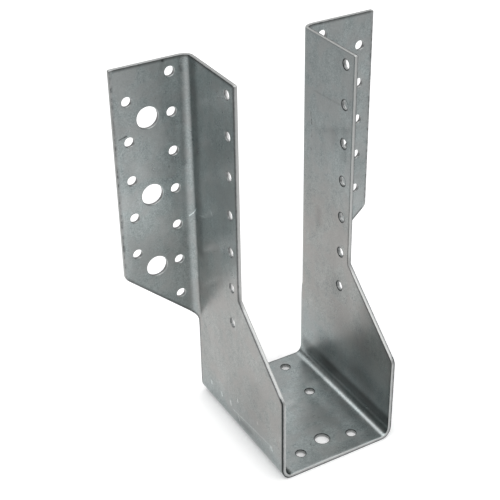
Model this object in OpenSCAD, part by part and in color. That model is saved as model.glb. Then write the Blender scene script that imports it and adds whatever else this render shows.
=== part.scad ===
// Face-fix joist hanger, folded from one blank of galvanised sheet.
// Millimetres. X runs across the joist, Y from the joist end (-Y) to the header (+Y), Z up.
// The origin is on the underside of the seat, in the middle of the hanger's width and depth.

/* [Joist pocket] */
// Clear width between the cheeks
joist_w = 60; // [50:1:100]
// Height of the cheeks above the face that the joist bears on
joist_h = 190; // [188:1:220]
// Depth of the seat, from the header to its front edge
seat_depth = 85; // [82:1:100]

/* [Sheet] */
// Thickness of the sheet
sheet_t = 2; // [1.5:0.25:2.5]
// Inner radius of every fold
fold_r = 3; // [2:0.25:3.5]
// Rounding where a slanted edge meets an upright one, on the outward corners of the blank
corner_r = 4.5; // [2:0.5:6]
// Rounding of the square corners at the top edge
top_corner_r = 0.8; // [0.5:0.1:2]

/* [Cheeks] */
// Depth of the upper part of a cheek, from the header
cheek_depth = 45; // [43:1:55]
// Height at which the front edge starts to slope out to the seat
slope_high = 82; // [75:1:95]
// Height at which the slope reaches the full depth of the seat
slope_low = 47; // [35:1:60]
// Gap that the header leaves behind the seat and the lower cheeks
back_gap = 2.5; // [2:0.1:2.9]

/* [Flanges] */
// Width of a flange, from the outer face of its cheek
flange_w = 38.5; // [37:0.5:50]
// Height of the lower end of a flange's outer edge
flange_low = 83; // [76:1:86]
// Height at which the flange's slanted edge reaches its cheek
flange_root = 48.5; // [44:0.5:54]
// Rounding in the notch between the slanted edge and the cheek's back edge
root_r = 3.5; // [2.5:0.5:4]

/* [Nail holes] */
// Diameter of a nail hole
nail_d = 5; // [4:0.5:6]
// Distance from one nail to the next in a column
nail_pitch = 20; // [18:0.5:20]
// Nails in a flange's inner column and in each cheek
nail_rows = 7; // [5:1:7]
// Nails in a flange's outer column
outer_rows = 5; // [3:1:5]
// Inner nail column, from the outer face of the cheek
inner_column = 9; // [8:0.5:12]
// Outer nail column, from the outer face of the cheek
outer_column = 31; // [29:0.5:33]
// First flange nail, from the top edge
flange_first = 6.7; // [6:0.1:9]
// First cheek nail, from the top edge
cheek_first = 6.4; // [6:0.1:9]
// Cheek nail column, from the header
cheek_column = 38.3; // [36:0.1:39]

/* [Bolt holes] */
// Diameter of a flange's bolt hole
bolt_d = 11; // [9:0.5:12]
// Bolt holes in each flange
bolt_rows = 3; // [2:1:3]
// Bolt column, from the outer face of the cheek
bolt_column = 21.2; // [20:0.1:23]

/* [Seat holes] */
// Nail holes on each side of the middle of the seat
seat_nail_x = 15; // [10:1:20]
// Rows of seat nails, from the header
seat_nail_rows = [11, 35.5, 74.5]; // [8:0.5:76]
// Diameter of the middle hole
seat_hole_d = 7.5; // [5:0.5:9]
// Middle hole, from the header
seat_hole_y = 70.7; // [60:0.1:74]

/* [Hidden] */
$fn = 96;

top = joist_h + sheet_t;
inner_x = joist_w / 2;
outer_x = inner_x + sheet_t;
flange_x = outer_x + flange_w;
fold_outer_r = fold_r + sheet_t;
// Where the cheek ends and the fold into the flange starts, and the same along the flange
fold_y = -fold_outer_r;
fold_x = outer_x + fold_r;
// Where the fold into the flange starts to fade out, above and below its lower end
fade_low = flange_root - root_r;
fade_high = flange_root + fold_outer_r;
over = 1;

// The sliver between the corner at p, with edges towards a and b, and the arc that rounds it
module corner_sliver(p, a, b, r) {
    to_a = (a - p) / norm(a - p);
    to_b = (b - p) / norm(b - p);
    middle = (to_a + to_b) / norm(to_a + to_b);
    half_angle = acos(to_a * to_b) / 2;
    reach = r / tan(half_angle);
    difference() {
        polygon([p, p + reach * to_a, p + reach * to_b]);
        translate(p + middle * r / sin(half_angle))
            circle(r);
    }
}

// A quarter ring of sheet about the origin, in the quadrant that the two signs give
module fold_section(sign_x, sign_y) {
    intersection() {
        difference() {
            circle(fold_outer_r);
            circle(fold_r);
        }
        translate([min(0, sign_x * fold_outer_r), min(0, sign_y * fold_outer_r)])
            square(fold_outer_r);
    }
}

// Seat, its two folds and the cheeks, seen along Y
module trough_section() {
    translate([fold_r - inner_x, 0])
        square([joist_w - 2 * fold_r, sheet_t]);
    for (side = [-1, 1]) {
        translate([side * (inner_x - fold_r), fold_outer_r])
            fold_section(side, -1);
        translate([side * (inner_x + sheet_t / 2) - sheet_t / 2, fold_outer_r])
            square([sheet_t, top - fold_outer_r]);
    }
}

// A cheek seen along X, with the header at 0. Behind the upper part, the fold takes over.
module cheek_outline() {
    top_front = [-cheek_depth, top];
    elbow = [-cheek_depth, slope_high];
    toe = [-seat_depth, slope_low];
    heel = [-seat_depth, 0];
    difference() {
        polygon([
            heel, toe, elbow, top_front,
            [fold_y, top], [fold_y, fade_high], [-back_gap, fade_low], [-back_gap, 0]
        ]);
        corner_sliver(toe, elbow, heel, corner_r);
        corner_sliver(top_front, elbow, [fold_y, top], top_corner_r);
    }
}

module trough() {
    intersection() {
        rotate([90, 0, 0])
            linear_extrude(seat_depth)
                trough_section();
        rotate([90, 0, 90])
            linear_extrude(joist_w + 4 * sheet_t, center = true)
                cheek_outline();
    }
}

// The fold from the cheek and the flange, seen along Z
module wing_section() {
    translate([fold_x, fold_y])
        fold_section(-1, 1);
    translate([fold_x, -sheet_t])
        square([flange_x - fold_x, sheet_t]);
}

// A flange seen along Y, with the fold that it grows from
module flange_outline() {
    top_outer = [flange_x, top];
    low_outer = [flange_x, flange_low];
    root = [outer_x, flange_root];
    below_root = [outer_x, fade_low - over];
    difference() {
        polygon([
            [inner_x - over, top], top_outer, low_outer, root,
            below_root, [inner_x - over, fade_low - over]
        ]);
        corner_sliver(low_outer, top_outer, root, corner_r);
        corner_sliver(top_outer, [outer_x, top], low_outer, top_corner_r);
    }
    corner_sliver(root, low_outer, below_root, root_r);
}

// The space behind the lower cheek, seen along X, rounded up into the fold
module notch_outline() {
    notch_top = [-back_gap, flange_root];
    difference() {
        translate([-back_gap, fade_low - over])
            square([back_gap + over, root_r + over]);
        corner_sliver(notch_top, [-back_gap, fade_low - over], [over, flange_root], root_r);
    }
}

module wing() {
    difference() {
        intersection() {
            translate([0, 0, fade_low])
                linear_extrude(top - fade_low)
                    wing_section();
            rotate([90, 0, 0])
                linear_extrude(3 * fold_outer_r, center = true)
                    flange_outline();
        }
        rotate([90, 0, 90])
            linear_extrude(2 * flange_x)
                notch_outline();
    }
}

// A punch of diameter d that goes right through a plate square to the axis
module punch_x(d, length) {
    rotate([0, 90, 0])
        cylinder(d = d, h = length, center = true);
}

module punch_y(d) {
    rotate([90, 0, 0])
        cylinder(d = d, h = 4 * sheet_t, center = true);
}

module punch_z(d) {
    cylinder(d = d, h = 4 * sheet_t, center = true);
}

module flange_holes(side) {
    for (row = [0 : nail_rows - 1])
        translate([side * (outer_x + inner_column), 0, top - flange_first - row * nail_pitch])
            punch_y(nail_d);
    // The outer column sits half a pitch lower, and the bolts half a pitch below that
    for (row = [0 : outer_rows - 1])
        translate([
            side * (outer_x + outer_column), 0,
            top - flange_first - (row + 0.5) * nail_pitch
        ])
            punch_y(nail_d);
    for (row = [0 : bolt_rows - 1])
        translate([
            side * (outer_x + bolt_column), 0,
            top - flange_first - (2 * row + 1) * nail_pitch
        ])
            punch_y(bolt_d);
}

module cheek_holes() {
    for (row = [0 : nail_rows - 1])
        translate([0, -cheek_column, top - cheek_first - row * nail_pitch])
            punch_x(nail_d, joist_w + 4 * sheet_t);
}

module seat_holes() {
    for (side = [-1, 1], row = seat_nail_rows)
        translate([side * seat_nail_x, -row, 0])
            punch_z(nail_d);
    translate([0, -seat_hole_y, 0])
        punch_z(seat_hole_d);
}

module joist_hanger() {
    color("lightslategray")
        translate([0, seat_depth / 2, 0])
            difference() {
                union() {
                    trough();
                    wing();
                    mirror([1, 0, 0])
                        wing();
                }
                flange_holes(1);
                flange_holes(-1);
                cheek_holes();
                seat_holes();
            }
}

joist_hanger();
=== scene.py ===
"""Dresses the joist hanger: one blank of galvanised sheet, punched, then folded round its frame.

The blank is drawn flat. Its u runs across the joist, along the seat and up the cheeks, and its v
runs from the seat's front edge to the header and on along the flanges. Its third measure goes
through the sheet, from the side that ends up inside the pocket to the side that ends up outside.
"""

import math

import bmesh
import bpy
from bpy.props import (
    FloatProperty,
    FloatVectorProperty,
    IntProperty,
    PointerProperty,
)
from bpy.types import Operator, Panel, PropertyGroup
from mathutils import Euler, Matrix, Vector
from mathutils.geometry import delaunay_2d_cdt


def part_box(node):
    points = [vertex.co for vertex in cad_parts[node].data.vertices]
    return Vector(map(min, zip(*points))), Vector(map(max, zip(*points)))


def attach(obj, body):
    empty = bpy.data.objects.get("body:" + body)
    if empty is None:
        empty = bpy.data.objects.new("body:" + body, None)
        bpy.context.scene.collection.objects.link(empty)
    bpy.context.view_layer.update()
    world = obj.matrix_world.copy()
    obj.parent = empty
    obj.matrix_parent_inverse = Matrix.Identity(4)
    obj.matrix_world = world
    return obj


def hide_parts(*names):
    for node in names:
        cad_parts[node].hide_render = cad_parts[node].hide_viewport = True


bl_info = {
    "name": "Joist hanger",
    "version": (1, 0, 0),
    "blender": (4, 5, 0),
    "location": "3D View > Sidebar > Joist hanger",
    "description": "A face-fix joist hanger folded from punched galvanised sheet",
    "category": "Object",
}

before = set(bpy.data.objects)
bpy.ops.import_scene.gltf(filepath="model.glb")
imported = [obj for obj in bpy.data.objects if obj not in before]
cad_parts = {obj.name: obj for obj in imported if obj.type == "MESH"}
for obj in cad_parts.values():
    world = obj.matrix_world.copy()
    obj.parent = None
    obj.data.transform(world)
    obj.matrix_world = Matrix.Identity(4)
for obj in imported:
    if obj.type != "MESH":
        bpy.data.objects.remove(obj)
LOW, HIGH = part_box("joist_hanger")
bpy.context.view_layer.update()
MM = 0.001
QUARTER = math.pi / 2
# Steps along a bend's path, across a rolled edge, and round a corner that is wide or tight
BEND_STEPS, ROLL_STEPS = 64, 8
WIDE_STEPS, TIGHT_STEPS = 8, 5
# The longest stretch of the outline without a point, and the tightest rounding that is left
LONGEST_STRETCH, LEAST_RADIUS = 6 * MM, 0.02 * MM
# How many lines let the flat sheet bend, and how far they go beyond the bend
SCORES, SCORE_MARGIN = 14, 0.5 * MM
# How far under the flanges the scoring goes, and where their bend starts to fade in
SCORE_DROP, FADE_START = 5 * MM, 0.5 * MM
# How far a face stays flat beside a rolled edge, and how close two points are one
FACE_BESIDE, SAME_PLACE = 0.25 * MM, 1e-7
# Width that the blank's map covers, and where its middle lies
MAP_WIDTH, MAP_MIDDLE = 0.5, Vector((0.5, 0.5))


# Sizes


def number(name, description, default, **more):
    """A plain number."""
    return FloatProperty(name=name, description=description, default=default, **more)


def length(name, description, default):
    """A length in millimetres, kept in metres."""
    return number(name, description, default * MM, unit="LENGTH")


def angle(name, description, default):
    """An angle in degrees, kept in radians."""
    return number(name, description, math.radians(default), subtype="ANGLE")


def share(name, description, default):
    """A number from 0 to 1."""
    return number(name, description, default, min=0, max=1, subtype="FACTOR")


def colour(name, description, default):
    """A linear colour."""
    return FloatVectorProperty(
        name=name, description=description, default=default, min=0, max=1, size=3, subtype="COLOR"
    )


class BlankSizes(PropertyGroup):
    """The sheet and the outline it is cut to."""

    thickness: length("Thickness", "Thickness of the sheet", 2)
    seat_bend: length("Seat bend", "From the corner under a cheek to its bend's end in the seat", 5)
    seat_tail: length("Seat bend's tail", "From that corner to its bend's end in the cheek", 5.8)
    flange_bend: length("Flange bend", "From the flange's corner to its bend's end in the cheek", 4)
    flange_tail: length("Flange bend's tail", "From that corner to its bend's end in the flange", 6)
    softness: share("Bend softness", "0.55 makes a bend round, and more makes its ends soft", 0.62)
    pocket_width: length("Pocket width", "Clear width between the cheeks", 60)
    cheek_depth: length("Cheek depth", "Depth of a cheek's upper part, from the header", 45)
    slope_high: length("Slope, high end", "Height where the front edge starts to slope", 82)
    slope_low: length("Slope, low end", "Height where the slope ends over the seat", 47)
    back_gap: length("Back gap", "Gap behind the seat and the lower cheeks", 2.5)
    flange_low: length("Flange, low corner", "Height of a flange's lower outer corner", 83)
    flange_root: length("Flange root", "Height where the slanted edge reaches the cheek", 48.5)
    corner_radius: length("Corner radius", "Rounding of the blank's slanted corners", 4.5)
    top_radius: length("Top corner radius", "Rounding of the square corners at the top", 0.8)
    root_radius: length("Root radius", "Rounding in the notch under a flange", 5)


class HoleSizes(PropertyGroup):
    """The punched holes and their columns."""

    nail: length("Nail hole", "Diameter of a nail hole", 5)
    bolt: length("Bolt hole", "Diameter of a bolt hole", 11)
    seat_hole: length("Seat hole", "Diameter of the hole in the middle of the seat", 7.5)
    sides: IntProperty(name="Sides", description="Facets round a hole", default=48, min=12)
    pitch: length("Pitch", "From one nail hole to the next in a column", 20)
    nail_rows: IntProperty(name="Nail rows", description="Nails in a full column", default=7)
    outer_rows: IntProperty(name="Outer rows", description="Nails in the outer column", default=5)
    bolt_rows: IntProperty(name="Bolt rows", description="Bolts in a flange", default=3)
    flange_first: length("First flange nail", "From the top to a flange's first nail", 6.7)
    cheek_first: length("First cheek nail", "From the top to a cheek's first nail", 6.4)
    inner_column: length("Inner column", "From the cheek's face to a flange's inner nails", 9)
    bolt_column: length("Bolt column", "From the cheek's face to a flange's bolts", 21.2)
    outer_column: length("Outer column", "From the cheek's face to a flange's outer nails", 31)
    cheek_column: length("Cheek column", "From the header to a cheek's nails", 38.3)
    seat_column: length("Seat column", "From the middle of the seat to its nails", 15)
    seat_rows: FloatVectorProperty(
        name="Seat rows", description="From the header to each pair of nails in the seat",
        default=(11 * MM, 35.5 * MM, 74.5 * MM), size=3, unit="LENGTH",
    )
    seat_middle: length("Seat middle", "From the header to the hole in the middle", 70.7)


class EdgeSizes(PropertyGroup):
    """What the punch leaves round every edge of the sheet."""

    blank_roll: length("Blank's roll", "How far in from the outline the face bends down", 1.4)
    blank_drop: length("Blank's drop", "How far the face bends down at the outline", 0.26)
    blank_land: length("Blank's land", "Height of the smooth cut along the outline", 0.95)
    hole_roll: length("Hole's roll", "How far in from a hole the face bends down", 0.3)
    hole_drop: length("Hole's drop", "How far the face bends down at a hole", 0.2)
    hole_land: length("Hole's land", "Height of the smooth cut in a hole", 0.9)
    break_angle: length("Break", "How far the torn part of an edge falls back", 0.07)


class Finish(PropertyGroup):
    """Zinc coating, bare edges, wear, and painted highlights and shade."""

    zinc_dark: colour("Dark zinc", "Darkest crystals of the zinc", (0.225, 0.255, 0.258))
    zinc_light: colour("Light zinc", "Lightest crystals of the zinc", (0.545, 0.575, 0.572))
    zinc_warm: colour("Warm zinc", "Patches that look a little brown", (0.406, 0.407, 0.403))
    cool_cast: colour("Cool cast", "What tints the zinc of the flanges and the seat", (0.972, 0.998, 1))
    warm_cast: colour("Warm cast", "What tints the zinc low on the cheeks", (1, 0.955, 0.93))
    cut_smooth: colour("Smooth cut", "Smooth part of a cut edge", (0.57, 0.58, 0.57))
    cut_torn: colour("Torn cut", "Torn part of a cut edge", (0.42, 0.43, 0.43))
    # Painted highlight: the bright walls of the left cheek's nail holes
    cut_glint: colour("Clean cut", "Wall of a clean hole", (0.88, 0.88, 0.87))
    # Also painted shade: the dark line round the rim of each hole
    line_and_rim_shade: colour("Line in a cut", "Where the smooth part ends", (0.14, 0.15, 0.15))
    cut_burr: colour("Burr", "Last of the torn part", (0.13, 0.135, 0.135))
    # Darkest band at a burr, partly painted shade: contact shadow along the front edge and shade in the
    # holes
    dark_burr_and_shade: colour("Grimy burr", "Burr along the front edge", (0.03, 0.035, 0.035))
    roughness: share("Roughness", "Middle roughness of the zinc", 0.31)
    # Also scales the painted highlights and shade among the marks
    wear_and_shade: share("Wear", "Strength of the scratches and the press marks", 1)


class Studio(PropertyGroup):
    """The light, the floor and the camera."""

    overhead: number("Overhead light", "What the metal sees above the hanger", 1.7)
    level: number("Level light", "What the metal sees round the hanger", 0.28)
    soft: number("Soft light", "Plain light from all round", 0.85)
    key_power: number("Key lamp", "Power of the lamp on the left", 4, unit="POWER")
    fill_power: number("Fill lamp", "Power of the lamp on the right", 2, unit="POWER")
    paper: share("Floor", "How white the floor is", 0.9)
    floor_size: length("Floor size", "From the middle of the floor to its sides", 4000)
    floor_far: share("Far floor", "What the metal sees of the floor further off", 0.62)
    floor_near_reach: length("Near floor", "Where the floor starts to fall off", 140)
    floor_far_reach: length("Floor fall-off", "Where the floor stops falling off", 350)
    aim: FloatVectorProperty(
        name="Aim", description="Point that the camera looks at",
        default=(-0.01735, 0.01152, 0.09836), size=3, subtype="TRANSLATION",
    )
    distance: length("Distance", "From the aim to the camera", 563.4)
    azimuth: angle("Azimuth", "Turn of the camera about the vertical", -29.54)
    elevation: angle("Elevation", "Tilt of the view, down from level", 31.90)
    roll: angle("Roll", "Turn of the camera about its own axis", -0.977)
    lens: number("Lens", "Focal length in mm on a sensor 36 mm wide", 84.69)


# Node trees


class Nodes:
    """Adds nodes to one tree."""

    def __init__(self, tree):
        self.tree = tree

    def put(self, socket, value):
        """Links or sets one input, and leaves it as it is for None."""
        if isinstance(value, bpy.types.NodeSocket):
            self.tree.links.new(value, socket)
        elif value is not None:
            socket.default_value = value

    def add(self, kind, *values, named=None, **settings):
        """A node with its settings made, and its inputs put in order or by name."""
        node = self.tree.nodes.new(kind)
        for name, value in settings.items():
            setattr(node, name, value)
        for socket, value in zip(node.inputs, values):
            self.put(socket, value)
        for name, value in (named or {}).items():
            self.put(node.inputs[name], value)
        return node

    def maths(self, operation, *values, clamp=False):
        """The result of one sum."""
        node = self.add("ShaderNodeMath", *values, operation=operation, use_clamp=clamp)
        return node.outputs[0]

    def ramp(self, value, low, high, to_low=0.0, to_high=1.0, kind="LINEAR"):
        """A value between low and high, carried over to two others and held beyond them."""
        given = (value, low, high, to_low, to_high)
        return self.add("ShaderNodeMapRange", *given, interpolation_type=kind).outputs[0]

    def place(self, *values):
        """A vector from its parts."""
        return self.add("ShaderNodeCombineXYZ", *values).outputs[0]

    def split(self, vector):
        """The parts of a vector."""
        return self.add("ShaderNodeSeparateXYZ", vector).outputs

    def rays(self, first, *others):
        """1 for the named kinds of ray and 0 for the rest."""
        seen = self.add("ShaderNodeLightPath").outputs
        total = seen[first]
        for kind in others:
            total = self.maths("MAXIMUM", total, seen[kind])
        return total


def floats(*names):
    """The kind of socket that each name stands for."""
    return dict.fromkeys(names, "Float")


def new_group(name, kind, inputs, outputs):
    """A node group with its sockets: its nodes, what it is given, and what it gives back."""
    tree = bpy.data.node_groups.new(name, kind)
    for way, sockets in (("INPUT", inputs), ("OUTPUT", outputs)):
        for label, socket in sockets.items():
            tree.interface.new_socket(label, in_out=way, socket_type="NodeSocket" + socket)
    nodes = Nodes(tree)
    return nodes, nodes.add("NodeGroupInput").outputs, nodes.add("NodeGroupOutput").inputs


def geometry_tree(name, inputs):
    """A geometry tree with a Geometry input and output, and an input for each name."""
    geometry = {"Geometry": "Geometry"}
    return new_group(name, "GeometryNodeTree", {**geometry, **inputs}, geometry)


def run_tree(mesh, tree, inputs, name):
    """Runs a geometry tree on a mesh and gives the result as a plain mesh."""
    carrier = bpy.data.objects.new(name, mesh)
    bpy.context.scene.collection.objects.link(carrier)
    modifier = carrier.modifiers.new(tree.name, "NODES")
    modifier.node_group = tree
    for item in tree.interface.items_tree:
        if item.item_type == "SOCKET" and item.in_out == "INPUT" and item.name in inputs:
            modifier[item.identifier] = inputs[item.name]
    graph = bpy.context.evaluated_depsgraph_get()
    result = bpy.data.meshes.new_from_object(carrier.evaluated_get(graph))
    result.name = name
    bpy.data.objects.remove(carrier)
    return result


# The blank


class Bend:
    """A quarter turn from level to upright, tightest in its middle, and its length mid-sheet."""

    def __init__(self, near, far, softness):
        self.near, self.far, self.softness = near, far, softness
        start, end = Vector((0, 0)), Vector((near, far))
        one, two = Vector((softness * near, 0)), Vector((near, far - softness * far))
        points = []
        for step in range(BEND_STEPS + 1):
            t = step / BEND_STEPS
            a, b = 1 - t, t
            points.append(a**3 * start + 3 * a * a * b * one + 3 * a * b * b * two + b**3 * end)
        self.length = sum((q - p).length for p, q in zip(points, points[1:]))


def round_corner(before, corner, after, radius, steps):
    """The arc that rounds a corner, as points."""
    to_before = (before - corner).normalized()
    to_after = (after - corner).normalized()
    half = to_before.angle(to_after) / 2
    reach = radius / math.tan(half)
    centre = corner + (to_before + to_after).normalized() * radius / math.sin(half)
    start = corner + to_before * reach - centre
    turn = start.angle_signed(corner + to_after * reach - centre)
    points = []
    for step in range(steps + 1):
        spin = Matrix.Rotation(-turn * step / steps, 2)
        points.append(centre + spin @ start)
    return points


class Blank:
    """The flat sheet, and how its places relate to heights and widths on the folded hanger."""

    def __init__(self, sizes):
        self.sizes = sizes
        self.half = sizes.thickness / 2
        self.up = Bend(sizes.seat_bend, sizes.seat_tail, sizes.softness)
        self.out = Bend(sizes.flange_bend, sizes.flange_tail, sizes.softness)
        self.side = sizes.pocket_width / 2 + self.half
        self.seat_flat = self.side - self.up.near
        self.header = HIGH.y
        self.fold_line = self.header - self.half - self.out.near

    def rise(self, height):
        """u of a height on a cheek."""
        return self.seat_flat + self.up.length + height - self.half - self.up.far

    def run(self, x):
        """v of a distance from the middle on a flange."""
        return self.fold_line + self.out.length + x - self.side - self.out.far

    def corners(self):
        """Every corner of the outline, once round and anticlockwise, with its rounding."""
        s = self.sizes
        top = self.rise(HIGH.z)
        front = self.header - s.cheek_depth
        back = self.header - s.back_gap
        edge = self.run(HIGH.x)
        cheek = s.pocket_width / 2 + s.thickness
        slant = (s.flange_low - s.flange_root) / (HIGH.x - cheek)
        root_height = s.flange_low - slant * (edge - back)
        half = [
            (Vector((0, LOW.y)), 0),
            (Vector((self.rise(s.slope_low), LOW.y)), s.corner_radius),
            (Vector((self.rise(s.slope_high), front)), 0),
            (Vector((top, front)), s.top_radius),
            (Vector((top, edge)), s.top_radius),
            (Vector((self.rise(s.flange_low), edge)), s.corner_radius),
            (Vector((self.rise(root_height), back)), s.root_radius),
            (Vector((0, back)), 0),
        ]
        return half + [(Vector((-p.x, p.y)), radius) for p, radius in reversed(half[1:-1])]

    def rounded(self, inset):
        """The outline moved inwards: roundings shrink at outer corners and grow in notches."""
        places, radii = zip(*self.corners())
        places = [place + step * inset for place, step in zip(places, inward(list(places)))]
        points = []
        for k, (corner, radius) in enumerate(zip(places, radii)):
            before, after = places[k - 1], places[(k + 1) % len(places)]
            if radius:
                steps = WIDE_STEPS if radius > MM else TIGHT_STEPS
                notch = (corner - before).cross(after - corner) < 0
                radius = max(radius + (inset if notch else -inset), LEAST_RADIUS)
                points += round_corner(before, corner, after, radius, steps)
            else:
                points.append(corner)
        return points

    def outline(self, inset=0.0):
        """The outline, or one inside it, point for point, with no long stretches."""
        outer, points = self.rounded(0.0), self.rounded(inset)
        dense = []
        for k, (start, end) in enumerate(zip(points, points[1:] + points[:1])):
            span = (outer[(k + 1) % len(outer)] - outer[k]).length
            pieces = max(1, math.ceil(span / LONGEST_STRETCH))
            dense += [start.lerp(end, piece / pieces) for piece in range(pieces)]
        return dense


def hole_columns(blank, holes):
    """Every column of holes on the right half: first u, first v, step in u, count, diameter."""
    cheek = blank.sizes.pocket_width / 2 + blank.sizes.thickness
    first = blank.rise(HIGH.z - holes.flange_first)
    cheek_first = blank.rise(HIGH.z - holes.cheek_first)
    inner, middle, outer = (
        blank.run(cheek + column)
        for column in (holes.inner_column, holes.bolt_column, holes.outer_column)
    )
    step = holes.pitch
    columns = [
        (first, inner, step, holes.nail_rows, holes.nail),
        (first - step / 2, outer, step, holes.outer_rows, holes.nail),
        (first - step, middle, 2 * step, holes.bolt_rows, holes.bolt),
        (cheek_first, blank.header - holes.cheek_column, step, holes.nail_rows, holes.nail),
    ]
    for row in holes.seat_rows:
        columns.append((holes.seat_column, blank.header - row, 0.0, 1, holes.nail))
    return columns


def punch_tree():
    """A tree that lays a column of holes on both halves of the blank, as bare loops of edges."""
    nodes, given, ending = geometry_tree("Punched column", {
        **floats("First u", "First v", "Step", "Diameter"), "Count": "Int", "Sides": "Int",
    })
    line = nodes.add("GeometryNodeMeshLine", named={
        "Count": given["Count"], "Start Location": nodes.place(given["First u"], given["First v"]),
        "Offset": nodes.place(nodes.maths("MULTIPLY", given["Step"], -1.0)),
    })
    circle = nodes.add("GeometryNodeMeshCircle", named={
        "Vertices": given["Sides"], "Radius": nodes.maths("DIVIDE", given["Diameter"], 2.0),
    })
    spread = nodes.add("GeometryNodeInstanceOnPoints", named={
        "Points": line.outputs[0], "Instance": circle.outputs[0],
    }).outputs[0]
    other = nodes.add("GeometryNodeTransform", spread, named={"Scale": (-1, 1, 1)})
    both = nodes.add("GeometryNodeJoinGeometry", other.outputs[0])
    nodes.put(both.inputs[0], spread)
    nodes.put(ending[0], nodes.add("GeometryNodeRealizeInstances", both.outputs[0]).outputs[0])
    return nodes.tree


def hole_loops(blank, holes):
    """Every hole as a loop of points on the flat blank."""
    tree, sides = punch_tree(), holes.sides
    loops = []
    for first_u, first_v, step, count, diameter in hole_columns(blank, holes):
        inputs = {
            "First u": first_u, "First v": first_v, "Step": step, "Count": count,
            "Diameter": diameter, "Sides": sides,
        }
        column = run_tree(bpy.data.meshes.new("seed"), tree, inputs, "column")
        points = [vertex.co.to_2d() for vertex in column.vertices]
        loops += [points[first:first + sides] for first in range(0, len(points), sides)]
    middle = Vector((0, blank.header - holes.seat_middle))
    loops.append([
        middle + Vector((math.cos(turn), math.sin(turn))) * holes.seat_hole / 2
        for turn in (math.tau * side / sides for side in range(sides))
    ])
    return loops


def signed_area(loop):
    """Area of a loop, positive when it runs anticlockwise."""
    return sum(a.cross(b) for a, b in zip(loop, loop[1:] + loop[:1])) / 2


def inward(loop):
    """For each point of a loop, the mitred step that moves both its sides 1 to the left."""
    steps = []
    for before, here, after in zip(loop[-1:] + loop[:-1], loop, loop[1:] + loop[:1]):
        one = (here - before).normalized()
        two = (after - here).normalized()
        normal_one = Vector((-one.y, one.x))
        normal_two = Vector((-two.y, two.x))
        steps.append((normal_one + normal_two) / (1 + normal_one.dot(normal_two)))
    return steps


def edge_profile(half, roll, drop, land, fall_back, from_inside=False):
    """The shape that a cut leaves on an edge, from the outer face to the inner one.
    Each row holds the distance in from the edge, the place through the sheet, the depth, which
    counts from the face that the punch entered, and how much of the zinc is gone."""
    rows = [(roll + FACE_BESIDE, half, 0, 0)]
    for step in range(ROLL_STEPS + 1):
        angle = QUARTER * step / ROLL_STEPS
        turned = step / ROLL_STEPS
        rows.append((
            roll * (1 - math.sin(angle)), half - drop * (1 - math.cos(angle)),
            0.2 * turned, min(1, max(0, turned * 3 - 2)),
        ))
    smooth_end = half - drop - land
    rows += [
        (0, smooth_end, 0.5, 1),
        (0.015 * MM, smooth_end - 0.06 * MM, 0.54, 1),
        (fall_back, -half + 0.1 * MM, 0.94, 1),
        (fall_back + 0.03 * MM, -half + 0.02 * MM, 0.98, 1),
        (fall_back + 0.1 * MM, -half, 1, 1),
        (roll + FACE_BESIDE, -half, 1, 0),
    ]
    if from_inside:
        rows = [(inset, -through, *rest) for inset, through, *rest in reversed(rows)]
    return rows


def punched_sheet(blank, edges, loops):
    """A closed flat sheet from the outline and the holes, with its edges as the punch leaves them."""
    built = bmesh.new()
    depth = built.verts.layers.float.new("edge_depth")
    cut = built.verts.layers.float.new("edge_cut")
    hole = built.verts.layers.float.new("edge_of_hole")
    # The blank is cut out from its inner side, and its holes are punched from its outer side
    half, fall_back = blank.half, edges.break_angle
    round_blank = edge_profile(
        half, edges.blank_roll, edges.blank_drop, edges.blank_land, fall_back, from_inside=True
    )
    round_hole = edge_profile(half, edges.hole_roll, edges.hole_drop, edges.hole_land, fall_back)
    rings = [[] for _ in round_hole]
    counts = []
    for index, loop in enumerate(loops):
        # The outline runs anticlockwise and the holes clockwise, so the sheet is on the left
        if (signed_area(loop) > 0) != (index == 0):
            loop = loop[::-1]
        steps = inward(loop)
        counts.append(len(loop))
        for ring, row in zip(rings, round_hole if index else round_blank):
            inset, through, share_down, bare = row
            if index:
                places = [point + step * inset for point, step in zip(loop, steps)]
            else:
                places = blank.outline(inset)
            for flat in places:
                vertex = built.verts.new((flat.x, flat.y, through))
                vertex[depth] = share_down
                vertex[cut] = bare
                vertex[hole] = min(index, 1)
                ring.append(vertex)
    built.verts.index_update()
    for upper, lower in zip(rings, rings[1:]):
        base = 0
        for count in counts:
            for k in range(count):
                n = (k + 1) % count
                built.faces.new((
                    upper[base + n], upper[base + k], lower[base + k], lower[base + n],
                ))
            base += count
    chains, owner = [], []
    for index, count in enumerate(counts):
        base = len(owner)
        chains += [(base + k, base + (k + 1) % count) for k in range(count)]
        owner += [index] * count
    for ring in (rings[0], rings[-1]):
        flat = [vertex.co.to_2d() for vertex in ring]
        _, _, faces, origins, _, _ = delaunay_2d_cdt(flat, chains, [], 1, SAME_PLACE)
        source = [origin[0] for origin in origins]
        for face in faces:
            corners = [source[corner] for corner in face]
            loops_met = {owner[corner] for corner in corners}
            if len(loops_met) == 1 and loops_met != {0}:
                # All three corners on one round hole: the triangle would fill it
                continue
            corners = corners if ring is rings[0] else corners[::-1]
            built.faces.new([ring[corner] for corner in corners])
    return built


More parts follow.
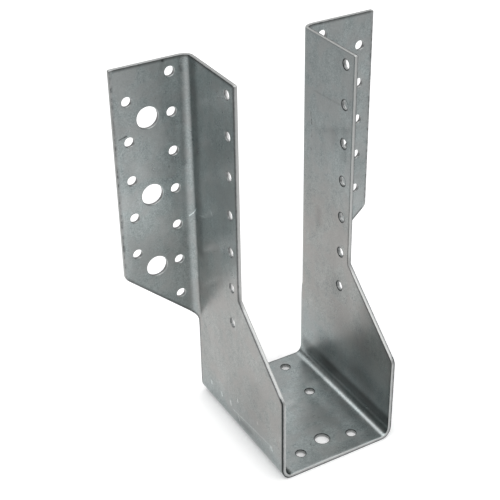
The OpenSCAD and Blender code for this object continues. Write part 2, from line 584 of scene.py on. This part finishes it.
def score(built, blank):
    """Cuts the flat sheet across at closely spaced lines, so that it can bend there."""
    low = blank.rise(blank.sizes.flange_root - SCORE_DROP)

    def lines(bend):
        inner = [bend.length * step / SCORES for step in range(SCORES + 1)]
        return [-SCORE_MARGIN, *inner, bend.length + SCORE_MARGIN]

    for side in (-1, 1):
        for station in lines(blank.up):
            geometry = built.verts[:] + built.edges[:] + built.faces[:]
            bmesh.ops.bisect_plane(
                built, geom=geometry, dist=SAME_PLACE,
                plane_co=(side * (blank.seat_flat + station), 0, 0), plane_no=(1, 0, 0),
            )
    for station in lines(blank.out):
        faces = [f for f in built.faces if max(abs(v.co.x) for v in f.verts) > low]
        geometry = list({v for f in faces for v in f.verts})
        geometry += list({e for f in faces for e in f.edges}) + faces
        bmesh.ops.bisect_plane(
            built, geom=geometry, dist=SAME_PLACE,
            plane_co=(0, blank.fold_line + station, 0), plane_no=(0, 1, 0),
        )
    bmesh.ops.triangulate(built, faces=[f for f in built.faces if len(f.verts) > 4])


class Fold:
    """Lays places on the flat blank along the path of one bend."""

    def __init__(self, nodes, near, far, softness):
        self.nodes, maths = nodes, nodes.maths
        first = maths("MULTIPLY", near, softness)
        last = maths("SUBTRACT", far, maths("MULTIPLY", far, softness))
        self.path = nodes.add("GeometryNodeCurvePrimitiveBezierSegment", named={
            "Resolution": BEND_STEPS, "Start": (0, 0, 0), "Start Handle": nodes.place(first),
            "End Handle": nodes.place(near, last), "End": nodes.place(near, far),
        }).outputs[0]
        self.length = nodes.add("GeometryNodeCurveLength", self.path).outputs[0]

    def along(self, distance):
        """Length inside the bend, length past it, and place and direction on it."""
        nodes, maths = self.nodes, self.nodes.maths
        past = maths("MAXIMUM", distance, 0.0)
        inside = maths("MINIMUM", past, self.length)
        sample = nodes.add("GeometryNodeSampleCurve", mode="LENGTH", named={
            "Curves": self.path, "Length": inside,
        }).outputs
        place, heading = nodes.split(sample["Position"]), nodes.split(sample["Tangent"])
        return inside, maths("SUBTRACT", past, inside), place[:2], heading[:2]


def fold_inputs(blank):
    """The sizes that the folds need, by name."""
    sizes = blank.sizes
    return {
        "Seat half": blank.seat_flat, "Seat bend": sizes.seat_bend, "Seat tail": sizes.seat_tail,
        "Flange bend": sizes.flange_bend, "Flange tail": sizes.flange_tail,
        "Softness": sizes.softness, "Half thickness": blank.half, "Flange fold": blank.fold_line,
        "Fade low": sizes.flange_root - sizes.root_radius + FADE_START,
        "Fade high": sizes.flange_root,
    }


def fold_tree(inputs, material):
    """A tree that folds the flat blank: cheeks up from the seat, flanges out from the cheeks."""
    nodes, given, ending = geometry_tree("Folded blank", floats(*inputs))
    maths = nodes.maths
    u, v, through = nodes.split(nodes.add("GeometryNodeInputPosition").outputs[0])
    up = Fold(nodes, given["Seat bend"], given["Seat tail"], given["Softness"])
    out = Fold(nodes, given["Flange bend"], given["Flange tail"], given["Softness"])

    # Up from the seat
    width = maths("ABSOLUTE", u)
    _, above, (ahead, lift), (level, upright) = up.along(
        maths("SUBTRACT", width, given["Seat half"])
    )
    middle_x = maths("ADD", maths("MINIMUM", width, given["Seat half"]), ahead)
    middle_z = maths("ADD", maths("ADD", lift, above), given["Half thickness"])

    # Out from the cheek, fading to flat under the root of the flange
    fade = nodes.ramp(middle_z, given["Fade low"], given["Fade high"], kind="SMOOTHSTEP")
    inside, straight, (ahead, aside), (onward, outward) = out.along(
        maths("SUBTRACT", v, given["Flange fold"])
    )
    flat = maths("SUBTRACT", 1.0, fade)
    onward = maths("MULTIPLY_ADD", onward, fade, flat)
    outward = maths("MULTIPLY", outward, fade)
    size = maths("ADD", maths("MULTIPLY", onward, onward), maths("MULTIPLY", outward, outward))
    size = maths("SQRT", size)
    onward, outward = maths("DIVIDE", onward, size), maths("DIVIDE", outward, size)
    ahead = maths("MULTIPLY_ADD", ahead, fade, maths("MULTIPLY", inside, flat))
    ahead = maths("MULTIPLY_ADD", straight, onward, ahead)
    aside = maths("MULTIPLY_ADD", straight, outward, maths("MULTIPLY", aside, fade))
    y = maths("ADD", maths("MINIMUM", v, given["Flange fold"]), ahead)
    y = maths("SUBTRACT", y, maths("MULTIPLY", through, outward))
    spread = maths("MULTIPLY_ADD", through, onward, aside)
    x = maths("MULTIPLY", maths("MULTIPLY_ADD", spread, upright, middle_x), maths("SIGN", u))
    z = maths("SUBTRACT", middle_z, maths("MULTIPLY", spread, level))

    moved = nodes.add("GeometryNodeSetPosition", given["Geometry"], named={
        "Position": nodes.place(x, y, z),
    })
    # Folding lays the outer face downwards, which turns the sheet inside out until its faces flip
    flipped = nodes.add("GeometryNodeFlipFaces", moved.outputs[0])
    real = nodes.add("GeometryNodeRealizeInstances", flipped.outputs[0])
    dressed = nodes.add("GeometryNodeSetMaterial", real.outputs[0], named={"Material": material})
    nodes.put(ending[0], dressed.outputs[0])
    return nodes.tree


# Materials


class Surface(Nodes):
    """Writes the patterns of one material."""

    def __init__(self, material):
        material.use_nodes = True
        super().__init__(material.node_tree)
        self.skin = self.tree.nodes["Principled BSDF"]

    def attribute(self, name, output):
        """An attribute of the mesh."""
        return self.add("ShaderNodeAttribute", attribute_name=name).outputs[output]

    def stretched(self, place, scale):
        """A place scaled along each of its three axes."""
        return self.add("ShaderNodeVectorMath", place, scale, operation="MULTIPLY").outputs[0]

    def clouds(self, place, size, low, high, detail=2, warp=0):
        """A soft random pattern, 0 below low and 1 above high, with clouds about one size across."""
        noise = self.add("ShaderNodeTexNoise", place, named={
            "Scale": 1 / size, "Detail": detail, "Distortion": warp,
        })
        return self.ramp(noise.outputs[0], low, high)

    def crystals(self, place, size):
        """Cells about one size across, each with its own value from 0 to 1."""
        cells = self.add("ShaderNodeTexVoronoi", place, named={"Scale": 1 / size})
        return self.split(cells.outputs["Color"])[0]

    def weighed(self, patterns, weights, start=0.0):
        """A sum of some patterns by name, each times its weight."""
        total = start
        for name, weight in weights.items():
            total = self.maths("MULTIPLY_ADD", patterns[name], weight, total)
        return total

    def bands(self, value, shades):
        """Shades along a value: each shade comes before the places that it holds at."""
        node = self.add("ShaderNodeValToRGB", value)
        stops = [(place, shade) for shade, *places in shades for place in places]
        ramp = node.color_ramp.elements
        while len(ramp) < len(stops):
            ramp.new(0.5)
        for element, (position, shade) in zip(ramp, stops):
            element.position = position
            element.color = (*shade, 1)
        return node.outputs[0]

    def blend(self, amount, one, two):
        """One colour turning into another."""
        mix = self.add("ShaderNodeMix", amount, data_type="RGBA", clamp_factor=True)
        for socket, value in zip(mix.inputs[6:8], (one, two)):
            is_link = isinstance(value, bpy.types.NodeSocket)
            self.put(socket, value if is_link else (*value, 1))
        return mix.outputs[2]


def mark_tree():
    """A shader group: 1 along a line on one face of the blank, 0 away from it."""
    inputs = floats(
        "u", "v", "Side", "Start u", "Start v", "End u", "End v", "Width", "Softness", "Face"
    )
    nodes, given, ending = new_group("Mark", "ShaderNodeTree", inputs, floats("Mark"))
    maths = nodes.maths
    u, v, side, start_u, start_v, end_u, end_v, width, softness, face = given[:len(inputs)]
    run_u, run_v = maths("SUBTRACT", end_u, start_u), maths("SUBTRACT", end_v, start_v)
    off_u, off_v = maths("SUBTRACT", u, start_u), maths("SUBTRACT", v, start_v)
    dot = maths("ADD", maths("MULTIPLY", off_u, run_u), maths("MULTIPLY", off_v, run_v))
    square = maths("ADD", maths("MULTIPLY", run_u, run_u), maths("MULTIPLY", run_v, run_v))
    along = maths("DIVIDE", dot, maths("MAXIMUM", square, SAME_PLACE**2), clamp=True)
    gap_u = maths("SUBTRACT", off_u, maths("MULTIPLY", along, run_u))
    gap_v = maths("SUBTRACT", off_v, maths("MULTIPLY", along, run_v))
    gap = maths("ADD", maths("MULTIPLY", gap_u, gap_u), maths("MULTIPLY", gap_v, gap_v))
    edge = maths("DIVIDE", width, 2.0)
    reach = maths("ADD", edge, softness)
    mark = nodes.ramp(maths("SQRT", gap), edge, reach, 1.0, 0.0, kind="SMOOTHSTEP")
    right_face = maths("GREATER_THAN", maths("MULTIPLY", side, face), 0.0)
    nodes.put(ending[0], maths("MULTIPLY", mark, right_face))
    return nodes.tree


# Marks on the face that ends up outside, real ones and painted highlights and shade: start and end on
# the blank in mm, width and softness in mm, and how much lighter or darker
OUTER_MARKS = (
    # Nick in the top edge of the left flange, and the smudge under it
    (-220.7, 52.6, -218.9, 52.8, 0.5, 0.6, -0.75),
    (-218.5, 52.8, -215, 53.8, 0.4, 1.6, -0.22),
    # Smudge beside the top nail hole, and a dent lower down
    (-214.2, 44.4, -212.4, 43.6, 0.2, 1.3, -0.30),
    (-165.7, 52.4, -165.3, 52.4, 0.3, 0.4, -0.50),
    # Dark scratch that ends at an outer nail hole
    (-185.7, 76.6, -186.7, 73, 0.2, 0.35, -0.60),
    # Bright scratch over the bend of the left flange, and its faint tail on the cheek
    (-136.2, 43, -137.6, 40.4, 0.15, 0.4, 1),
    (-137.6, 40.4, -140.4, 37.8, 0.15, 0.4, 0.9),
    (-138.4, 34.5, -140.5, 28, 0.1, 0.4, 0.22),
    # Rub marks on the left cheek
    (-146.2, 22.4, -145.2, 22, 0.2, 1.2, 0.25),
    (-141.9, 21.2, -139.5, 20.8, 0.2, 1.2, 0.14),
    (-68.8, 29.6, -65.8, 27.8, 0.1, 0.6, -0.20),
    # Marks of the press along the fold under the left cheek
    (-41, 28.8, -40.2, 28.5, 0.9, 0.8, 0.50),
    (-40.9, 17.9, -39.6, 17.4, 0.9, 0.8, 0.50),
    (-41.6, 8.4, -40.2, 8, 0.9, 0.8, 0.54),
    (-48.2, 0.9, -46.8, 0.6, 0.4, 0.5, 0.70),
    (-37.4, 0.3, -35.4, -0.6, 0.3, 0.6, 0.60),
    (-36.2, 0.6, -34.6, 0, 0.2, 0.5, -0.30),
    (-47.2, -18.6, -46.6, -18.9, 0.4, 0.5, 0.55),
    (-40.9, -31.6, -40.1, -32.6, 0.8, 0.8, 0.45),
    # Long scratch above them, and darker strips along the fold below it: painted shade
    (-38.4, 6, -41.9, -33, 0.15, 0.5, 0.34),
    (-35.5, 0, -36.5, -12, 1, 2.5, -0.18),
    (-34, 34, -35, -38, 2, 3.5, -0.10),
    # Painted highlight on the flange beside its fold, and lighter zinc along its edge
    (-214, 52, -128, 52, 8, 7, 0.16),
    (-222, 46.2, -132, 46.2, 1, 2.6, 0.14),
    (-190, 82, -118, 80, 3, 7, 0.16),
    # Painted shade and highlights along the folds of the flanges and on the cheeks beside them
    (-222, 43.5, -165, 44.2, 1, 1.8, -0.22),
    (-222, 40.9, -150, 41.1, 0.3, 1.2, 0.14),
    (-205, 32.5, -160, 32.5, 3, 5, -0.05),
    (-142, 33, -110, 31, 4, 6, -0.13),
    (-222, 35.2, -118, 35.2, 1.5, 4.5, -0.30),
    (222, 35.2, 118, 35.2, 1.5, 4.5, -0.30),
)
# Marks on the face that ends up inside the pocket, real ones and painted highlights and shade
INNER_MARKS = (
    # Painted light on the right side of the seat, and a painted highlight on the fold beside it
    (22, -42, 22, 6, 9, 6, 0.46),
    (33.9, -42, 33.9, 34, 0.4, 1.2, 0.18),
    # Painted shade on both sides of that fold, and the painted dark reflection of the seat and the left
    # cheek low on the right cheek
    (37.6, -42, 37.6, 34, 3, 4.5, -0.42),
    (31.8, -42, 31.8, 34, 1, 1.8, -0.26),
    (44, -42, 44, 12, 8, 13, -0.40),
    # Dark specks in a row down the right cheek
    (178.3, 32.7, 175.8, 32.4, 0.2, 0.4, -0.34),
    (174.9, 32.2, 174, 32.1, 0.3, 0.4, -0.50),
    (173.2, 32, 172.5, 31.9, 0.3, 0.4, -0.50),
    (169.3, 32, 168.5, 32, 0.2, 0.4, -0.36),
    (166.8, 31.7, 165.6, 31.8, 0.2, 0.4, -0.28),
    (159.2, 32.3, 158.4, 32.1, 0.3, 0.4, -0.48),
    # Long dim scratch across the right cheek, and a dim band under it
    (191, 28.8, 192.2, 6.5, 0.2, 0.8, -0.14),
    (171.5, 27, 182.7, -1, 0.5, 3, -0.10),
    # Grime in the seat, beside the left cheek
    (2.6, 4.8, -5.5, 3, 0.8, 2.2, 0.10),
    (2, 0.3, -6.5, -2, 0.4, 1.8, -0.16),
)
# Wide clouds on each face: middle on the blank, half length along u and half width along v in mm,
# and how much lighter or darker
OUTER_CLOUDS = (
    # Left flange
    (-190, 76, 7, 5, -0.10),
    (-167, 67, 10, 9, 0.13),
    (-148, 76, 10, 5, 0.08),
    (-182, 56, 16, 12, 0.18),
    (-145, 62, 26, 22, 0.15),
    (-104, 58, 22, 20, 0.30),
    (-124, 63, 18, 13, 0.12),
    (-210, 50, 15, 8, 0.14),
    # Left cheek
    (-50, -12, 34, 24, -0.12),
    (-165, 10, 50, 32, -0.23),
    # Right flange
    (190, 73, 14, 12, 0.12),
    (134, 73, 14, 12, -0.12),
)
INNER_CLOUDS = (
    # Right cheek, from the top down
    (213, 10, 8, 9, -0.08),
    (173, 12, 9, 8, -0.16),
    (165, 24, 15, 10, -0.09),
    (172, 3, 11, 5, -0.14),
    (124, 24, 8, 5, -0.16),
    (92, 8, 7, 8, -0.08),
    (110, 20, 9, 9, 0.08),
    (112, 20, 60, 34, -0.12),
    # Painted shade: the dark reflection of the seat and the left cheek low on the right cheek
    (100, -22, 17, 14, -0.16),
    (82, 4, 24, 16, -0.14),
    (62, -20, 26, 20, -0.28),
    # Seat, lightened with painted light where it reflects the light overhead
    (7, -32, 26, 20, 0.40),
    (20, 18, 14, 12, 0.12),
    (6, 0, 32, 22, 0.19),
)
FACES = ((1, OUTER_MARKS, OUTER_CLOUDS), (-1, INNER_MARKS, INNER_CLOUDS))


def worn_and_shaded(surface, finish, u, v, side):
    """How much lighter or darker the marks, real ones and painted light and shade, leave each place: a
    sum about 0.
    """
    tree = mark_tree()
    total = 0.0
    for face, marks, clouds in FACES:
        strokes = list(marks)
        for mid_u, mid_v, half_u, half_v, tone in clouds:
            reach = half_u - half_v
            soft = min(half_u, half_v)
            strokes.append((mid_u - reach, mid_v, mid_u + reach, mid_v, 0, soft, tone))
        for *measures, tone in strokes:
            values = (u, v, side, *(value * MM for value in measures), float(face))
            mark = surface.add("ShaderNodeGroup", node_tree=tree)
            for socket, value in zip(mark.inputs, values):
                surface.put(socket, value)
            total = surface.maths("MULTIPLY_ADD", mark.outputs[0], tone * finish.wear_and_shade, total)
    return total


# How much each pattern of the zinc adds to its tone, its roughness and its relief
TONE = {"patches": 0.13, "mottle": 0.17, "crystals": 0.20, "grain": 0.41, "streaks": 0.09}
ROUGH = {"mottle": 0.05, "patches": -0.05, "crystals": 0.02}
RELIEF = {"mottle": 0.7, "grain": 0.25, "streaks": 0.15}
RELIEF_HEIGHT = 0.018 * MM
CUT_ROUGHNESS = 0.46
TINT_SHARE = 0.6
DARKEST_MARK = 0.1
# Stretch through the sheet, which gives each face patterns of its own, and along the streaks
FACES_APART, STREAK_STRETCH = 40, 0.12
# The noise that shifts the marks: how far at most, and its scale
WOBBLE, WOBBLE_SCALE = 1.2 * MM, 900
# The warm zinc: the middle of the part without it, where it fades in and out from there along
# the blank, and where it ends towards the header
WARM_MIDDLE = 10 * MM
WARM_ENDS = ((45 * MM, 60 * MM), (150 * MM, 120 * MM))
WARM_HEADER = (42 * MM, 38 * MM)
# How far the bands of a cut wander, what two kinds of edge add to its depth, and the depth at
# which the bands of the outline end
RAGGED, CLEANER_EDGE, TORN_EDGE, DEEPEST = 0.12, -0.15, 0.25, 1.25
# Where the holes with the painted highlight start on the blank, along it and across it
GLINT_PAST, GLINT_BEFORE = (-55 * MM, -60 * MM), (32 * MM, 30 * MM)
# The burr of the front edge, darkened as painted contact shadow: how far behind the front edge it
# fades, and at what depth it starts
NOSE, BURR_DEPTH = (1.1 * MM, 0.7 * MM), (0.8, 0.95)


def zinc_patterns(surface, flat):
    """The zinc's patterns by name, each from 0 to 1."""
    place = surface.stretched(flat, (1, 1, FACES_APART))
    drawn = surface.stretched(flat, (STREAK_STRETCH, 1, FACES_APART))
    return {
        "patches": surface.clouds(place, 24 * MM, 0.34, 0.66, detail=3, warp=0.5),
        "tints": surface.clouds(place, 9 * MM, 0.44, 0.60, detail=3, warp=0.4),
        "mottle": surface.clouds(place, 4.5 * MM, 0.3, 0.7, detail=3),
        "grain": surface.clouds(place, 0.7 * MM, 0.3, 0.7, detail=1),
        "streaks": surface.clouds(drawn, 2.4 * MM, 0.3, 0.7),
        "crystals": surface.crystals(place, 1.3 * MM),
    }


def zinc_colour(surface, finish, patterns, flat):
    """The zinc with its wear and its painted highlights and shade, warmer low on the cheeks and cooler
    elsewhere.
    """
    maths = surface.maths
    u, v, side = surface.split(flat)
    zinc = surface.blend(surface.weighed(patterns, TONE), finish.zinc_dark, finish.zinc_light)
    zinc = surface.blend(maths("MULTIPLY", patterns["tints"], TINT_SHARE), zinc, finish.zinc_warm)

    # Shifting a place a little keeps the marks from having ruled edges
    wobble = surface.add("ShaderNodeTexNoise", flat, named={"Scale": WOBBLE_SCALE})
    shifted = [
        maths("MULTIPLY_ADD", maths("SUBTRACT", shift, 0.5), WOBBLE, straight)
        for shift, straight in zip(surface.split(wobble.outputs["Color"]), (u, v))
    ]
    change = maths("ADD", worn_and_shaded(surface, finish, *shifted, side), 1.0)
    zinc = surface.add("ShaderNodeVectorMath", zinc, operation="SCALE", named={
        "Scale": maths("MAXIMUM", change, DARKEST_MARK),
    }).outputs[0]

    off = maths("ABSOLUTE", maths("SUBTRACT", u, WARM_MIDDLE))
    warm = surface.ramp(v, *WARM_HEADER)
    for ends in WARM_ENDS:
        warm = maths("MULTIPLY", warm, surface.ramp(off, *ends))
    return surface.stretched(zinc, surface.blend(warm, finish.cool_cast, finish.warm_cast))


def edge_depth(surface, blank, flat):
    """Depth in a cut, from 0 at the face that the punch entered, with what shifts its bands."""
    maths = surface.maths
    _, v, _ = surface.split(flat)
    ragged = surface.clouds(flat, 2.2 * MM, 0.3, 0.7, detail=3)
    depth = surface.attribute("edge_depth", "Fac")
    depth = maths("MULTIPLY_ADD", maths("SUBTRACT", ragged, 0.5), RAGGED, depth)
    # A flange's outer edge is cut cleaner, and the front edge of the seat and the cheeks deeper
    edge, front = blank.run(HIGH.x), LOW.y
    for near, far, change in (
        (edge - 2.5 * MM, edge - 1.5 * MM, CLEANER_EDGE), (front + 3 * MM, front + 2 * MM, TORN_EDGE),
    ):
        depth = maths("ADD", depth, surface.ramp(v, near, far, 0.0, change))
    return depth


def cut_colour(surface, finish, flat, depth):
    """The bands of a cut: smooth first, then torn, then the burr."""
    maths = surface.maths
    u, v, _ = surface.split(flat)
    smooth, torn, burr = finish.cut_smooth, finish.cut_torn, finish.cut_burr
    line, under, clean = finish.line_and_rim_shade, finish.dark_burr_and_shade, finish.cut_glint
    outline = surface.bands(maths("DIVIDE", depth, DEEPEST), (
        (smooth, 0, 0.40), (torn, 0.50, 0.66), (burr, 0.72, 0.80), (under, 0.88, 1),
    ))
    # Inside a hole, the dark line at its rim is painted shade, and its darkest band is partly painted
    # shade
    inside = surface.bands(depth, (
        (line, 0, 0.09), (smooth, 0.15, 0.24), (torn, 0.34, 0.46), (line, 0.51),
        (torn, 0.58, 0.76), (under, 0.86, 1),
    ))
    # The nail holes of the left cheek get bands of their own, with a painted highlight on their walls
    glint_bands = surface.bands(depth, (
        (burr, 0, 0.16), (torn, 0.26), (line, 0.34), (torn, 0.44, 0.58), (clean, 0.66, 0.88),
        (smooth, 0.94, 1),
    ))
    there = maths("MULTIPLY", surface.ramp(u, *GLINT_PAST), surface.ramp(v, *GLINT_BEFORE))
    inside = surface.blend(there, inside, glint_bands)
    return surface.blend(surface.attribute("edge_of_hole", "Fac"), outline, inside)


def galvanised_steel(finish, blank):
    """Dull zinc in small crystals; along the cut edges a smooth band, a torn one and a burr."""
    material = bpy.data.materials.new("galvanised_steel")
    surface = Surface(material)
    maths, skin = surface.maths, surface.skin
    flat = surface.attribute("flat_place", "Vector")
    cut = surface.attribute("edge_cut", "Fac")
    patterns = zinc_patterns(surface, flat)
    depth = edge_depth(surface, blank, flat)

    # Painted contact shadow lies along the front edge, on the last of its burr
    behind = maths("SUBTRACT", surface.split(flat)[1], LOW.y)
    front_burr_shadow = maths("MULTIPLY", surface.ramp(behind, *NOSE), surface.ramp(depth, *BURR_DEPTH))
    zinc = zinc_colour(surface, finish, patterns, flat)
    bare = cut_colour(surface, finish, flat, depth)
    coat = surface.blend(maths("MAXIMUM", cut, front_burr_shadow), zinc, bare)

    middle = finish.roughness - sum(ROUGH.values()) / 2
    rough = surface.weighed(patterns, ROUGH, middle)
    ends = maths("MULTIPLY", cut, maths("SUBTRACT", CUT_ROUGHNESS, rough))
    bump = surface.add("ShaderNodeBump", named={
        "Strength": 1, "Distance": RELIEF_HEIGHT, "Height": surface.weighed(patterns, RELIEF),
    })
    skin.inputs["Metallic"].default_value = 1
    surface.put(skin.inputs["Base Color"], coat)
    surface.put(skin.inputs["Roughness"], maths("ADD", rough, ends))
    surface.put(skin.inputs["Normal"], bump.outputs[0])
    return material


# Operators


def settings():
    return bpy.context.scene.joist_hanger


class HANGER_OT_sheet(Operator):
    """Cuts, punches and folds the galvanised sheet, and puts it round the frame"""

    bl_idname = "hanger.sheet"
    bl_label = "Folded sheet"

    def execute(self, context):
        given = settings()
        blank = Blank(given.blank)
        built = punched_sheet(blank, given.edges, [blank.outline(), *hole_loops(blank, given.holes)])
        score(built, blank)
        self.keep_flat_place(built)
        flat = bpy.data.meshes.new("flat_blank")
        built.to_mesh(flat)
        built.free()
        inputs = fold_inputs(blank)
        tree = fold_tree(inputs, galvanised_steel(given.finish, blank))
        mesh = run_tree(flat, tree, inputs, "folded_sheet")
        mesh.shade_smooth()
        piece = bpy.data.objects.new("folded_sheet", mesh)
        context.scene.collection.objects.link(piece)
        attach(piece, "root")
        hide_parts("joist_hanger")
        return {"FINISHED"}

    @staticmethod
    def keep_flat_place(built):
        """Keeps each point's place on the flat blank for the patterns, and as a map 0.5 m wide."""
        flat = built.verts.layers.float_vector.new("flat_place")
        uv = built.loops.layers.uv.new("blank")
        for vertex in built.verts:
            vertex[flat] = vertex.co
        for face in built.faces:
            for corner in face.loops:
                corner[uv].uv = corner.vert.co.xy / MAP_WIDTH + MAP_MIDDLE


# What the floor adds to its own light: seen directly, and seen in gloss
DIRECT_GLOW, MIRRORED_GLOW = 0.36, 0.12
SHADOW_REACH = 9 * MM
SHADOW_SAMPLES = 16
# How steeply up the metal looks where the surround starts and stops getting brighter
RISE_START, RISE_END = 0.45, 0.9
# Each lamp's place and size in metres
KEY_PLACE, KEY_SIZE = (-0.7, -0.5, 1.1), 1.2
FILL_PLACE, FILL_SIZE = (0.9, -0.9, 0.7), 0.8
MIRRORED = ("Is Glossy Ray", "Is Transmission Ray")


def studio_floor(given):
    """A white floor that keeps the hanger's soft shadow, and in gloss falls off with distance."""
    material = bpy.data.materials.new("studio_floor")
    surface = Surface(material)
    surface.tree.nodes.remove(surface.skin)
    maths = surface.maths
    place = surface.add("ShaderNodeTexCoord").outputs["Object"]
    away = surface.add("ShaderNodeVectorMath", place, operation="LENGTH").outputs["Value"]
    near, far = given.floor_near_reach, given.floor_far_reach
    fall = surface.ramp(away, near, far, 1.0, given.floor_far, kind="SMOOTHSTEP")
    mirrored = surface.rays(*MIRRORED)
    # Seen in gloss the floor is dimmer further off; seen directly it stays white
    dim = maths("MULTIPLY_ADD", mirrored, maths("SUBTRACT", fall, 1.0), 1.0)
    white = maths("MULTIPLY", dim, given.paper)
    paper = surface.add("ShaderNodeCombineColor", white, white, white)
    matt = surface.add("ShaderNodeBsdfDiffuse", paper.outputs[0])
    # The glow dies out close under the hanger, where the floor sees the least light
    corner = surface.add("ShaderNodeAmbientOcclusion", samples=SHADOW_SAMPLES, named={
        "Distance": SHADOW_REACH,
    })
    shine = maths("MULTIPLY", corner.outputs["AO"], DIRECT_GLOW)
    shine = maths("MULTIPLY", surface.rays("Is Camera Ray"), shine)
    shine = maths("MULTIPLY_ADD", maths("MULTIPLY", mirrored, dim), MIRRORED_GLOW, shine)
    glow = surface.add("ShaderNodeEmission", named={"Strength": shine})
    lit = surface.add("ShaderNodeAddShader", matt.outputs[0], glow.outputs[0])
    surface.put(surface.tree.nodes["Material Output"].inputs["Surface"], lit.outputs[0])
    return material


def soft_lamp(name, place, size, power):
    """A square area lamp that looks at the middle of the hanger."""
    lamp = bpy.data.lights.new(name, "AREA")
    lamp.size = size
    lamp.energy = power
    stand = bpy.data.objects.new(name, lamp)
    stand.location = place
    aim = Vector((0, 0, HIGH.z / 2)) - Vector(place)
    stand.rotation_euler = aim.to_track_quat("-Z", "Y").to_euler()
    bpy.context.scene.collection.objects.link(stand)


def white_surround(given):
    """White where it is seen directly; in gloss bright overhead and dimmer level with the hanger."""
    world = bpy.data.worlds.new("surround")
    world.use_nodes = True
    bpy.context.scene.world = world
    nodes = Nodes(world.node_tree)
    maths = nodes.maths
    back = nodes.tree.nodes["Background"]
    towards = nodes.split(nodes.add("ShaderNodeTexCoord").outputs["Generated"])
    rise = (RISE_START, RISE_END, given.level, given.overhead)
    sky = nodes.ramp(towards[2], *rise, kind="SMOOTHSTEP")
    strength = maths("MULTIPLY_ADD", nodes.rays("Is Camera Ray"), 1 - given.soft, given.soft)
    more = maths("MULTIPLY", nodes.rays(*MIRRORED), maths("SUBTRACT", sky, given.soft))
    back.inputs["Color"].default_value = (1, 1, 1, 1)
    nodes.put(back.inputs["Strength"], maths("ADD", strength, more))


class HANGER_OT_studio(Operator):
    """Sets up the floor, the lamps, the surround and the camera"""

    bl_idname = "hanger.studio"
    bl_label = "Studio"

    def execute(self, context):
        scene = context.scene
        given = settings().studio
        size = given.floor_size
        mesh = bpy.data.meshes.new("floor")
        corners = [(-size, -size, 0), (size, -size, 0), (size, size, 0), (-size, size, 0)]
        mesh.from_pydata(corners, [], [(0, 1, 2, 3)])
        mesh.materials.append(studio_floor(given))
        floor = bpy.data.objects.new("floor", mesh)
        scene.collection.objects.link(floor)
        soft_lamp("key_lamp", KEY_PLACE, KEY_SIZE, given.key_power)
        soft_lamp("fill_lamp", FILL_PLACE, FILL_SIZE, given.fill_power)
        white_surround(given)

        camera = bpy.data.cameras.new("camera")
        camera.lens = given.lens
        camera.sensor_width = 36
        camera.clip_start = 0.01
        stand = bpy.data.objects.new("camera", camera)
        turn = Euler((math.pi / 2 - given.elevation, 0, given.azimuth)).to_matrix()
        turn = turn @ Matrix.Rotation(given.roll, 3, "Z")
        stand.matrix_world = turn.to_4x4()
        stand.location = Vector(given.aim) + turn @ Vector((0, 0, given.distance))
        scene.collection.objects.link(stand)
        scene.camera = stand
        scene.view_settings.view_transform = "Standard"
        return {"FINISHED"}


class HANGER_PT_panel(Panel):
    """Lists the hanger's sizes and its steps"""

    bl_idname = "HANGER_PT_panel"
    bl_label = "Joist hanger"
    bl_space_type = "VIEW_3D"
    bl_region_type = "UI"
    bl_category = "Joist hanger"

    def draw(self, context):
        given = settings()
        for title, group in (
            ("Blank", given.blank), ("Holes", given.holes), ("Edges", given.edges),
            ("Finish", given.finish), ("Studio", given.studio),
        ):
            box = self.layout.box()
            box.label(text=title)
            for name in group.__annotations__:
                box.prop(group, name)
        self.layout.operator(HANGER_OT_sheet.bl_idname)
        self.layout.operator(HANGER_OT_studio.bl_idname)


class HangerSettings(PropertyGroup):
    """Everything that a user would change."""

    blank: PointerProperty(type=BlankSizes)
    holes: PointerProperty(type=HoleSizes)
    edges: PointerProperty(type=EdgeSizes)
    finish: PointerProperty(type=Finish)
    studio: PointerProperty(type=Studio)


CLASSES = (
    BlankSizes, HoleSizes, EdgeSizes, Finish, Studio, HangerSettings,
    HANGER_OT_sheet, HANGER_OT_studio, HANGER_PT_panel,
)


def register():
    for item in CLASSES:
        bpy.utils.register_class(item)
    bpy.types.Scene.joist_hanger = PointerProperty(type=HangerSettings)


def unregister():
    del bpy.types.Scene.joist_hanger
    for item in reversed(CLASSES):
        bpy.utils.unregister_class(item)


def main():
    register()
    bpy.ops.hanger.studio()
    bpy.ops.hanger.sheet()


if __name__ == "__main__":
    main()
